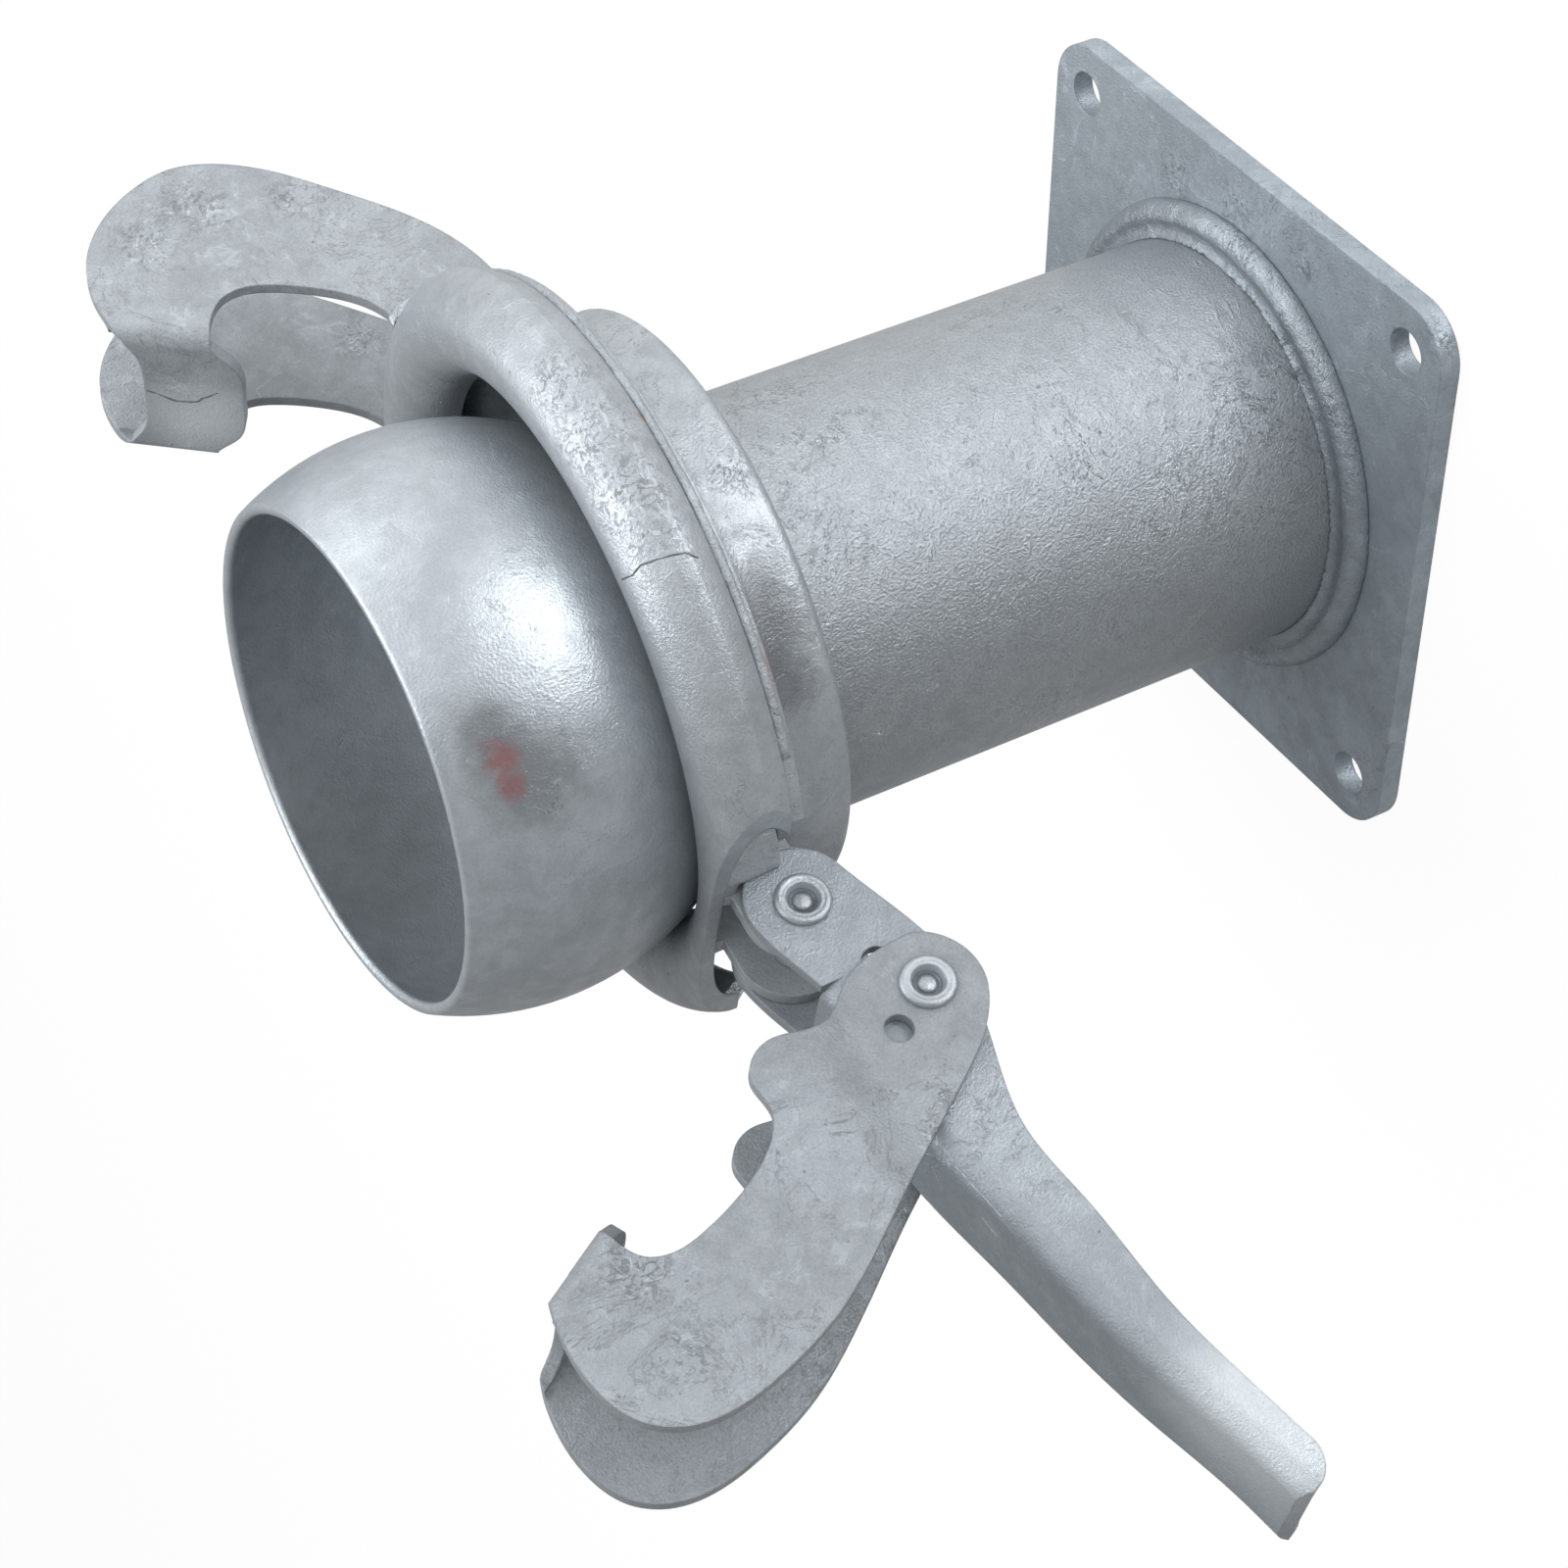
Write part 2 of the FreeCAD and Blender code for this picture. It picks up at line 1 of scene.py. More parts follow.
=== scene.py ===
import json
import math
import bmesh
import bpy
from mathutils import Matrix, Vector


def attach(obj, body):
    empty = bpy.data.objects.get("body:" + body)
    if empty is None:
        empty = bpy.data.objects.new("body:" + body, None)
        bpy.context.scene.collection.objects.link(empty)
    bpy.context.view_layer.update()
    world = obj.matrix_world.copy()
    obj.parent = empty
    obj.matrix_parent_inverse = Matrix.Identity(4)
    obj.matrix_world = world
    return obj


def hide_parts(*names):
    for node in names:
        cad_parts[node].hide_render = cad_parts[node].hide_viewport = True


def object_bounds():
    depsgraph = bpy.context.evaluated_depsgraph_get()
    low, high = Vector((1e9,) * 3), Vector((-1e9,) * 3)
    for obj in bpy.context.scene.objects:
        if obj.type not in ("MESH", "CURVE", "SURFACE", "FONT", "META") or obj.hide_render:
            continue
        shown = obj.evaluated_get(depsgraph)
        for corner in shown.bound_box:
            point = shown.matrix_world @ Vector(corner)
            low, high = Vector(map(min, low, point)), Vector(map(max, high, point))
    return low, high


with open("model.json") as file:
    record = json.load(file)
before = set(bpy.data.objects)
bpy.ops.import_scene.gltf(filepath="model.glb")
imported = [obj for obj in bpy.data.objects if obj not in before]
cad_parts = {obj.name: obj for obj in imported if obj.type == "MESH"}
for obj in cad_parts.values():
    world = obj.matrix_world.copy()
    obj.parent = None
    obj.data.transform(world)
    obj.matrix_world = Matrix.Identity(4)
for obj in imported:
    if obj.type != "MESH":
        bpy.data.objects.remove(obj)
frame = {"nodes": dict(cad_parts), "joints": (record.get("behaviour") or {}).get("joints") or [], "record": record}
nodes = frame["nodes"]
sizeAtLoad = [list(corner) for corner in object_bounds()]
bodyOf = {part: body for body, parts in frame["record"]["behaviour"]["bodies"].items() for part in parts}
joints = {joint["name"]: joint for joint in frame["joints"]}
print("frame loaded,", len(nodes), "nodes")


# the photograph's camera, in the part's frame
photoView = {
    "lens": 92.77,
    "sensor": 36.0,
    "width": 1600,
    "place": (0.6622, 0.6259, 0.5489),
    "right": (0.5205405, 0.0098734, -0.8537799),
    "up": (-0.5688110, 0.7497491, -0.3381277),
    "back": (0.6367822, 0.6616486, 0.3958908),
}


def viewAxes():
    return [Vector(photoView[name]) for name in ("right", "up", "back")]


def inView(x, y, z):
    # a step given as right, up and back of the photo's camera
    right, up, back = viewAxes()
    return right * x + up * y + back * z


def pointOn(nodeName, pixelX, pixelY):
    # where the photo's pixel falls on a CAD node, and the way its surface faces there
    right, up, back = viewAxes()
    half = photoView["width"] / 2
    step = photoView["sensor"] / photoView["lens"] / photoView["width"]
    ray = right * (pixelX - half) * step - up * (pixelY - half) * step - back
    found, spot, facing, face = nodes[nodeName].ray_cast(Vector(photoView["place"]), ray.normalized())
    if not found:
        raise ValueError(f"pixel {pixelX}, {pixelY} misses {nodeName}")
    return spot, facing


def addObject(name, data):
    made = bpy.data.objects.new(name, data)
    bpy.context.scene.collection.objects.link(made)
    return made


def addNode(tree, kind, **settings):
    made = tree.nodes.new(kind)
    for name, value in settings.items():
        setattr(made, name, value)
    return made


def feed(tree, target, name, source):
    # source is a socket, or a plain value
    socket = target.inputs[name]
    if isinstance(source, bpy.types.NodeSocket):
        tree.links.new(source, socket)
    else:
        socket.default_value = source


def maths(tree, work, first, second=0.0, third=None):
    made = addNode(tree, "ShaderNodeMath", operation=work)
    feed(tree, made, 0, first)
    feed(tree, made, 1, second)
    if third is not None:
        feed(tree, made, 2, third)
    return made.outputs[0]


def ramp(tree, value, low, high, lowOut=0.0, highOut=1.0):
    # smooth step from low to high
    made = addNode(tree, "ShaderNodeMapRange", interpolation_type="SMOOTHSTEP")
    for name, number in (("From Min", low), ("From Max", high), ("To Min", lowOut), ("To Max", highOut)):
        made.inputs[name].default_value = number
    feed(tree, made, "Value", value)
    return made.outputs["Result"]


def contour(tree, value, level, reach):
    # a line where value crosses a level, faded out over the reach on both sides
    away = maths(tree, "ABSOLUTE", maths(tree, "SUBTRACT", value, level))
    return ramp(tree, away, *reach, 1.0, 0.0)


def noise(tree, place, scale, detail=4.0, rough=0.55, twist=0.0):
    made = addNode(tree, "ShaderNodeTexNoise")
    feed(tree, made, "Vector", place)
    for name, number in (("Scale", scale), ("Detail", detail), ("Roughness", rough), ("Distortion", twist)):
        made.inputs[name].default_value = number
    return made.outputs["Fac"]


def tint(tree, mask, under, over, blend="MIX"):
    made = addNode(tree, "ShaderNodeMix", data_type="RGBA", blend_type=blend)
    feed(tree, made, 0, mask)
    feed(tree, made, 6, under)
    feed(tree, made, 7, over)
    return made.outputs[2]


# zinc coat, in metres and in greys
zincLook = {
    "tone": 0.355,                     # mean grey of the coat
    "spread": 0.05,                    # how far cloudy patches go to each side
    "lessRed": 0.075,                  # how far a cool grey leans to blue
    "moreBlue": 0.07,
    "turn": (0.6, 0.35, 0.8),          # sets the noises askew to the part's own axes
    # noises: repeats per metre, detail, roughness, distortion
    "clouds": (16.0, 5.0, 0.62, 0.8),
    "mottle": (150.0, 4.0, 0.65, 0.4),
    "grain": (1500.0, 3.0, 0.6),
    "flow": (24.0, 4.0, 0.55, 1.6),
    "specks": (520.0, 3.0, 0.65),
    "folds": (34.0, 6.0, 0.7, 2.2),
    "crazes": (330.0, 6.0, 0.75, 1.8),
    "flakes": (250.0, 5.0, 0.7, 1.4),
    "mottleShare": 0.45,               # of the mottle in the cloudy tone
    # ranges: where each mask starts and where it is full
    "toneRange": (0.36, 0.62),
    "grainRange": (0.3, 0.7),
    "patchRange": (0.515, 0.535),
    "borderRange": (0.004, 0.014),
    "borderBreak": (0.45, 0.6),
    "speckRange": (0.68, 0.75),
    "speckBreak": (0.42, 0.6),
    "foldRange": (0.001, 0.008),
    "foldBreak": (0.46, 0.58),
    "crazeRange": (0.53, 0.57),
    "flakeRange": (0.55, 0.61),
    "roughRange": (0.35, 0.65),
    # levels that flow borders and folds follow
    "borderLevel": 0.525,
    "foldLevel": 0.5,
    # greys, and how strongly each is laid on
    "film": 0.50,
    "pit": 0.13,
    "fold": 0.169,
    "flake": 0.58,
    "craze": 0.12,
    "patchDepth": 1.4,
    "patchAmount": 0.6,
    "cleanAmount": 0.15,               # specks left where the coat is clean
    "foldAmount": 1.3,
    "flakeAmount": 0.5,
    "crazeAmount": 0.6,
    "grainTone": 0.14,                 # how far the fine grain shifts the tone
    "scarTear": 0.9,
    "scarScale": 130.0,
    "roughen": 0.07,
    "polish": 0.05,
    # relief, as shares of its depth
    "reliefDepth": 0.0005,
    "mottleRise": 0.35,
    "borderRise": 0.25,
    "speckRise": -0.9,
    "foldRise": -0.5,
    "crazeRise": -1.4,
    "edge": 0.0008,                    # how far corners look rounded
    "edgeSamples": 4,
}
patchLook = {"core": 0.2, "rim": 1.2, "noiseMean": 0.5}


def grey(value, cool=1.0):
    # a grey that leans to blue, more so where it is cool
    return (value * (1 - zincLook["lessRed"] * cool), value, value * (1 + zincLook["moreBlue"] * cool), 1.0)


def patchMask(tree, place, centre, reach, tear, scale):
    # a soft round patch about a point, torn at its edge by noise
    away = addNode(tree, "ShaderNodeVectorMath", operation="DISTANCE")
    feed(tree, away, 0, place)
    away.inputs[1].default_value = centre
    torn = maths(tree, "MULTIPLY_ADD", noise(tree, place, scale), tear * reach, away.outputs["Value"])
    shift = patchLook["noiseMean"] * tear
    return ramp(tree, torn, reach * (patchLook["core"] + shift), reach * (patchLook["rim"] + shift), 1.0, 0.0)


def zinc(name, tone=1.0, spread=1.0, rough=0.46, metal=0.55, flow=0.35, pits=0.35, grain=0.5,
         cool=1.0, marks=(), scars=()):
    material = bpy.data.materials.new(name)
    material.use_nodes = True
    tree = material.node_tree
    shader = tree.nodes["Principled BSDF"]
    shader.inputs["Metallic"].default_value = metal
    where = addNode(tree, "ShaderNodeTexCoord").outputs["Object"]
    turned = addNode(tree, "ShaderNodeMapping")
    feed(tree, turned, "Vector", where)
    turned.inputs["Rotation"].default_value = zincLook["turn"]
    place = turned.outputs["Vector"]
    middle = zincLook["tone"] * tone
    reach = zincLook["spread"] * spread

    # cloudy tone, broken by a fine grain
    clouds = noise(tree, place, *zincLook["clouds"])
    mottle = noise(tree, place, *zincLook["mottle"])
    fine = noise(tree, place, *zincLook["grain"])
    share = zincLook["mottleShare"]
    blend = maths(tree, "MULTIPLY_ADD", mottle, share, maths(tree, "MULTIPLY", clouds, 1.0 - share))
    toned = ramp(tree, blend, *zincLook["toneRange"])
    colour = tint(tree, toned, grey(middle - reach, cool), grey(middle + reach, cool))
    shift = zincLook["grainTone"] * grain
    grained = ramp(tree, fine, *zincLook["grainRange"], 1.0 - shift, 1.0 + shift)
    colour = tint(tree, 1.0, colour, grained, "MULTIPLY")

    # flow marks: darker patches with a thin pale border, as the zinc ran and set
    run = noise(tree, place, *zincLook["flow"])
    patch = ramp(tree, run, *zincLook["patchRange"], 0.0, flow * zincLook["patchAmount"])
    border = maths(tree, "MULTIPLY", contour(tree, run, zincLook["borderLevel"], zincLook["borderRange"]),
                   ramp(tree, mottle, *zincLook["borderBreak"]))
    # dark specks, thickest where the clouds are
    specks = ramp(tree, noise(tree, place, *zincLook["specks"]), *zincLook["speckRange"])
    dirt = ramp(tree, clouds, *zincLook["speckBreak"], zincLook["cleanAmount"] * pits, pits)
    # dark contours where a skin of dross has folded
    skin = noise(tree, place, *zincLook["folds"])
    folded = maths(tree, "MULTIPLY", contour(tree, skin, zincLook["foldLevel"], zincLook["foldRange"]),
                   ramp(tree, clouds, *zincLook["foldBreak"]))
    layers = [
        (patch, middle - reach * zincLook["patchDepth"]),
        (maths(tree, "MULTIPLY", border, flow), zincLook["film"]),
        (maths(tree, "MULTIPLY", specks, dirt), zincLook["pit"]),
        (maths(tree, "MULTIPLY", folded, min(1.0, pits * zincLook["foldAmount"])), zincLook["fold"]),
    ]
    rises = [(border, zincLook["borderRise"]), (specks, zincLook["speckRise"]), (folded, zincLook["foldRise"])]

    # scars: patches where the coat is torn into dark crazes and pale flakes
    scarred = 0.0
    for centre, size in scars:
        spot = patchMask(tree, where, centre, size, zincLook["scarTear"], zincLook["scarScale"])
        scarred = maths(tree, "MAXIMUM", scarred, spot)
    if scars:
        crazes = ramp(tree, noise(tree, place, *zincLook["crazes"]), *zincLook["crazeRange"])
        flakes = ramp(tree, noise(tree, place, *zincLook["flakes"]), *zincLook["flakeRange"])
        crazed = maths(tree, "MULTIPLY", scarred, crazes)
        flaked = maths(tree, "MULTIPLY", scarred, flakes)
        layers.append((maths(tree, "MULTIPLY", flaked, zincLook["flakeAmount"]), zincLook["flake"]))
        layers.append((maths(tree, "MULTIPLY", crazed, zincLook["crazeAmount"]), zincLook["craze"]))
        rises.append((crazed, zincLook["crazeRise"]))
    for mask, value in layers:
        colour = tint(tree, mask, colour, grey(value, cool))
    # marks: real stains and rust, and patches of painted light and painted shade, laid into the base colour
    for centre, size, tear, scale, stainAndLightColour, amount in marks:
        spot = maths(tree, "MULTIPLY", patchMask(tree, where, centre, size, tear, scale), amount)
        colour = tint(tree, spot, colour, stainAndLightColour)
    feed(tree, shader, "Base Color", colour)
    feed(tree, shader, "Roughness", ramp(tree, blend, *zincLook["roughRange"], rough + zincLook["roughen"],
                                         rough - zincLook["polish"]))

    height = maths(tree, "MULTIPLY_ADD", mottle, zincLook["mottleRise"], fine)
    for mask, rise in rises:
        height = maths(tree, "MULTIPLY_ADD", mask, rise, height)
    corners = addNode(tree, "ShaderNodeBevel", samples=zincLook["edgeSamples"])
    corners.inputs["Radius"].default_value = zincLook["edge"]
    relief = addNode(tree, "ShaderNodeBump")
    relief.inputs["Strength"].default_value = grain
    relief.inputs["Distance"].default_value = zincLook["reliefDepth"]
    feed(tree, relief, "Height", height)
    feed(tree, relief, "Normal", corners.outputs["Normal"])
    feed(tree, shader, "Normal", relief.outputs["Normal"])
    return material


redPaint = (0.30, 0.12, 0.12, 1.0)
# sootAndShadeDark: dark soot round the ball's red smudge, and painted shade in the sleeve's hollow
sootAndShadeDark = (0.13, 0.14, 0.15, 1.0)
rustBrown = (0.36, 0.17, 0.07, 1.0)
# paintedLightPale: a pale laid on where faces need more light
paintedLightPale = (0.58, 0.62, 0.65, 1.0)
patchGrey = (0.24, 0.265, 0.28, 1.0)
# stains and painted light and shade: the photo's pixel, metres off the surface, reach, how torn the rim is,
# scale of the tear, colour, strength
stainsAndPaintedLight = {
    "ball_cup": (
        (498, 745, 0.0, 0.009, 0.8, 150.0, sootAndShadeDark, 0.65),
        (540, 785, 0.0, 0.015, 1.0, 150.0, sootAndShadeDark, 0.6),
        (512, 775, 0.0, 0.0052, 1.2, 420.0, redPaint, 0.7),
        (522, 803, 0.0, 0.0042, 1.2, 420.0, redPaint, 0.7),
    ),
    "ring_sleeve": (
        # painted shade: these three dark patches darken the sleeve's concave flare beside the hood's edge
        (772, 600, 0.0, 0.010, 0.6, 150.0, sootAndShadeDark, 0.55),
        (786, 650, 0.0, 0.012, 0.6, 150.0, sootAndShadeDark, 0.72),
        (800, 700, 0.0, 0.010, 0.6, 150.0, sootAndShadeDark, 0.65),
        (786, 687, 0.0, 0.007, 1.0, 300.0, redPaint, 0.30),
    ),
    "ring_hood": ((655, 425, 0.0, 0.0016, 1.2, 700.0, rustBrown, 0.6),),
    # painted light: a pale patch, set just off the surface, lightens the hook's shaded nose tongue
    "fixed_hook": ((205, 425, 0.008, 0.020, 0.3, 60.0, paintedLightPale, 0.85),),
    "moving_hook": ((686, 1375, 0.0, 0.016, 0.4, 90.0, patchGrey, 0.5),),
    # painted highlight: a pale patch lightens the handle's end
    "lever_handle": ((1290, 1450, 0.0, 0.030, 0.5, 40.0, paintedLightPale, 0.6),),
}
# scars: the photo's pixel and the reach
tears = {
    "flange_plate": ((1200, 180, 0.010), (1260, 215, 0.009), (1330, 270, 0.007), (1470, 350, 0.006)),
    "ball_cup": ((560, 815, 0.006), (500, 735, 0.005)),
    "ring_hood": ((575, 385, 0.010), (605, 440, 0.012), (640, 500, 0.012), (665, 545, 0.007)),
    "ring_sleeve": ((800, 710, 0.007), (745, 480, 0.006)),
    "fixed_hook": (
        (200, 215, 0.011), (150, 250, 0.009), (365, 345, 0.008), (185, 395, 0.009), (300, 200, 0.008),
    ),
    "moving_hook": (
        (966, 1120, 0.003), (952, 1155, 0.004), (936, 1195, 0.005), (918, 1235, 0.005),
        (902, 1275, 0.004), (650, 1300, 0.009), (700, 1380, 0.008),
    ),
}
# the coat of each large piece, where it differs from the usual one in zinc
coats = {
    "flange_plate": {"name": "flange plate zinc", "tone": 0.96, "flow": 0.4, "pits": 0.5, "cool": 1.6},
    "pipe_tube": {"name": "pipe zinc", "tone": 1.03, "spread": 0.6, "grain": 0.9, "pits": 0.4, "flow": 0.1,
                  "rough": 0.31, "metal": 0.75},
    "ball_cup": {"name": "ball zinc", "tone": 1.15, "grain": 0.35, "flow": 0.2, "rough": 0.33,
                 "metal": 0.62, "cool": 1.1},
    "ring_hood": {"name": "hood zinc", "tone": 1.05, "grain": 0.45, "rough": 0.38, "metal": 0.6},
    "ring_sleeve": {"name": "sleeve zinc", "tone": 1.1, "rough": 0.38, "metal": 0.6, "pits": 0.6},
    "fixed_hook": {"name": "fixed hook zinc", "tone": 0.85, "spread": 0.8, "flow": 0.3, "pits": 0.6,
                   "rough": 0.50, "metal": 0.42},
    "moving_hook": {"name": "moving hook zinc", "tone": 0.75, "spread": 0.6, "flow": 0.2, "grain": 0.6,
                    "rough": 0.52, "metal": 0.4, "cool": 1.1},
    "lever_handle": {"name": "lever zinc", "tone": 0.83, "spread": 0.6, "flow": 0.1, "rough": 0.42,
                     "metal": 0.5, "cool": 1.3},
}


def coatOf(nodeName):
    marks = []
    for pixelX, pixelY, above, *look in stainsAndPaintedLight.get(nodeName, ()):
        spot, facing = pointOn(nodeName, pixelX, pixelY)
        marks.append((spot + facing * above, *look))
    scars = [(pointOn(nodeName, pixelX, pixelY)[0], reach) for pixelX, pixelY, reach in tears.get(nodeName, ())]
    return zinc(**coats[nodeName], marks=marks, scars=scars)


finishOf = {nodeName: coatOf(nodeName) for nodeName in coats}
earZinc = zinc("lug zinc", tone=1.1, rough=0.5, pits=0.9)
rivetZinc = zinc("rivet zinc", tone=1.08, rough=0.38, metal=0.65, grain=0.4)
weldZinc = zinc("weld zinc", tone=1.05, rough=0.34, metal=0.5, grain=0.6, pits=0.9, flow=0.1)
flangeBeadZinc = zinc("flange bead zinc", tone=0.9, cool=1.5, rough=0.3, metal=0.7, grain=0.7, pits=1.0,
                      flow=0.1)
seamZinc = zinc("seam zinc", tone=1.05, rough=0.45, grain=0.8, pits=1.0, flow=0.3)
crackDark = zinc("open crack", tone=0.42, rough=0.7, metal=0.2)
ridgeZinc = zinc("zinc ridge", tone=1.8, rough=0.36, metal=0.4)
for nodeName, cadPiece in nodes.items():
    if "weld" in nodeName:
        finish = weldZinc
    elif "rivet" in nodeName:
        finish = rivetZinc
    else:
        finish = finishOf.get(nodeName, earZinc)
    cadPiece.data.materials.clear()
    cadPiece.data.materials.append(finish)
print("zinc finishes on", len(nodes), "nodes")


def startTree(name, sizes):
    # a Geometry Nodes group whose named inputs are the mesh, these sizes and the finish
    tree = bpy.data.node_groups.new(name, "GeometryNodeTree")
    tree.interface.new_socket("Geometry", in_out="OUTPUT", socket_type="NodeSocketGeometry")
    tree.interface.new_socket("Geometry", in_out="INPUT", socket_type="NodeSocketGeometry")
    for title, value in sizes.items():
        kind = "NodeSocketInt" if isinstance(value, int) else "NodeSocketFloat"
        made = tree.interface.new_socket(title, in_out="INPUT", socket_type=kind)
        made.default_value = value
    tree.interface.new_socket("Finish", in_out="INPUT", socket_type="NodeSocketMaterial")
    return tree


def endTree(tree, given, shape):
    # every group ends alike, in real geometry with its finish
    whole = addNode(tree, "GeometryNodeRealizeInstances")
    feed(tree, whole, 0, shape)
    dressed = addNode(tree, "GeometryNodeSetMaterial")
    feed(tree, dressed, "Geometry", whole.outputs[0])
    feed(tree, dressed, "Material", given.outputs["Finish"])
    feed(tree, addNode(tree, "NodeGroupOutput"), 0, dressed.outputs[0])
    return tree


def runTree(piece, tree, values):
    # a modifier's inputs go by the socket's identifier; its result becomes the piece's own plain mesh
    modifier = piece.modifiers.new(tree.name, "NODES")
    modifier.node_group = tree
    for item in tree.interface.items_tree:
        if item.item_type == "SOCKET" and item.in_out == "INPUT" and item.name in values:
            modifier[item.identifier] = values[item.name]
    bpy.context.view_layer.update()
    shown = piece.evaluated_get(bpy.context.evaluated_depsgraph_get())
    mesh = bpy.data.meshes.new_from_object(shown)
    piece.modifiers.clear()
    piece.data = mesh
    mesh.name = piece.name
    mesh.shade_smooth()


def carry(piece, nodeName):
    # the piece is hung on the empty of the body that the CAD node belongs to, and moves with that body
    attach(piece, bodyOf[nodeName])


mergeWithin = 0.000002    # metres, to join the CAD mesh along its faces' edges


def cleanCopy(nodeName, name):
    mesh = nodes[nodeName].data.copy()
    mesh.name = name
    joined = bmesh.new()
    joined.from_mesh(mesh)
    bmesh.ops.remove_doubles(joined, verts=joined.verts, dist=mergeWithin)
    joined.to_mesh(mesh)
    joined.free()
    return addObject(name, mesh)


# weld beads keep the solid's form and get the ripples of the torch
weldLook = {
    "step": 0.0041,        # from ripple to ripple
    "height": 0.00003,
    "fan": 0.35,           # run gained with distance from the pipe's axis
    "radius": 0.064,       # run gained with the turn about it, per radian
    "waver": 0.004,        # how far the lumps bend the ripples
    "lumpScale": 95.0,
    "lumpHeight": 0.0008,
    "mesh": 0.00045,
    "smoothing": 5,
}
# each bead's name, seed, finish and ripple height
beads = {
    "flange_weld": ("flangeWeldBead", 1.0, flangeBeadZinc, weldLook["height"]),
    "ball_weld": ("ballWeldBead", 2.0, weldZinc, weldLook["height"]),
    "ring_seam_weld": ("seamWeldBead", 3.0, seamZinc, 0.00004),
    "lug_weld_near": ("nearLugWeldBead", 4.0, weldZinc, weldLook["height"]),
    "lug_weld_far": ("farLugWeldBead", 5.0, weldZinc, weldLook["height"]),
    "fixed_hook_welds": ("hookWeldBeads", 6.0, weldZinc, weldLook["height"]),
}


def rippleTree():
    tree = startTree("weldRipples", {
        "Step": weldLook["step"],
        "Height": weldLook["height"],
        "Lump Scale": weldLook["lumpScale"],
        "Lump Height": weldLook["lumpHeight"],
        "Seed": 1.0,
    })
    given = addNode(tree, "NodeGroupInput")
    spot = addNode(tree, "GeometryNodeInputPosition").outputs[0]
    parts = addNode(tree, "ShaderNodeSeparateXYZ")
    feed(tree, parts, 0, spot)
    x, y = parts.outputs[0], parts.outputs[1]
    angle = maths(tree, "ARCTAN2", y, x)
    squares = maths(tree, "ADD", maths(tree, "MULTIPLY", x, x), maths(tree, "MULTIPLY", y, y))
    run = maths(tree, "MULTIPLY_ADD", maths(tree, "SQRT", squares), weldLook["fan"],
                maths(tree, "MULTIPLY", angle, weldLook["radius"]))
    lumps = addNode(tree, "ShaderNodeTexNoise", noise_dimensions="4D")
    feed(tree, lumps, "Vector", spot)
    feed(tree, lumps, "W", given.outputs["Seed"])
    feed(tree, lumps, "Scale", given.outputs["Lump Scale"])
    lump = maths(tree, "SUBTRACT", lumps.outputs["Fac"], 0.5)
    bent = maths(tree, "MULTIPLY_ADD", lump, weldLook["waver"], run)
    phase = maths(tree, "DIVIDE", bent, given.outputs["Step"])
    wave = maths(tree, "SINE", maths(tree, "MULTIPLY", phase, math.tau))
    rise = maths(tree, "MULTIPLY", wave, given.outputs["Height"])
    rise = maths(tree, "MULTIPLY_ADD", lump, given.outputs["Lump Height"], rise)
    push = addNode(tree, "ShaderNodeVectorMath", operation="SCALE")
    feed(tree, push, 0, addNode(tree, "GeometryNodeInputNormal").outputs[0])
    feed(tree, push, "Scale", rise)
    moved = addNode(tree, "GeometryNodeSetPosition")
    feed(tree, moved, "Geometry", given.outputs["Geometry"])
    feed(tree, moved, "Offset", push.outputs[0])
    return endTree(tree, given, moved.outputs[0])


ripples = rippleTree()
for nodeName, (name, seed, finish, height) in beads.items():
    bead = cleanCopy(nodeName, name)
    even = bead.modifiers.new("even", "REMESH")
    even.mode = "VOXEL"
    even.voxel_size = weldLook["mesh"]
    soft = bead.modifiers.new("soft", "SMOOTH")
    soft.iterations = weldLook["smoothing"]
    runTree(bead, ripples, {"Seed": seed, "Height": height, "Finish": finish})
    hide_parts(nodeName)
    carry(bead, nodeName)
print("weld beads rippled")


# seams and scratches: a thin round line laid along points on the surface
lineLook = {
    "radius": 0.0004,
    "wobble": 0.0005,
    "step": 0.0008,
    "sides": 6,
    "thin": 0.2,           # share of the radius at its thinnest
    "swell": 1.6,          # and what the noise adds
    "wobbleScale": 400.0,
    "parts": 6,            # points between two of the photo's pixels
    "sunk": 0.2,           # share of the radius below the surface
}
# each line's CAD node, finish, radius, wobble and runs of the photo's pixels
surfaceLines = {
    "hoodButtSeam": ("ring_hood", crackDark, 0.00022, 0.0006, (
        ((635, 591), (645, 587), (653, 577), (668, 572), (684, 567), (701, 564), (712, 569)),
    )),
    "hookNoseFold": ("fixed_hook", crackDark, 0.0003, 0.0010, (
        ((149, 398), (164, 403), (178, 409), (199, 410), (222, 401)),
    )),
    "webScratches": ("lever_handle", ridgeZinc, 0.00015, 0.0006, (
        ((942, 1175), (977, 1192), (1022, 1242)),
        ((952, 1192), (962, 1215)),
        ((1002, 1242), (1018, 1262)),
    )),
}


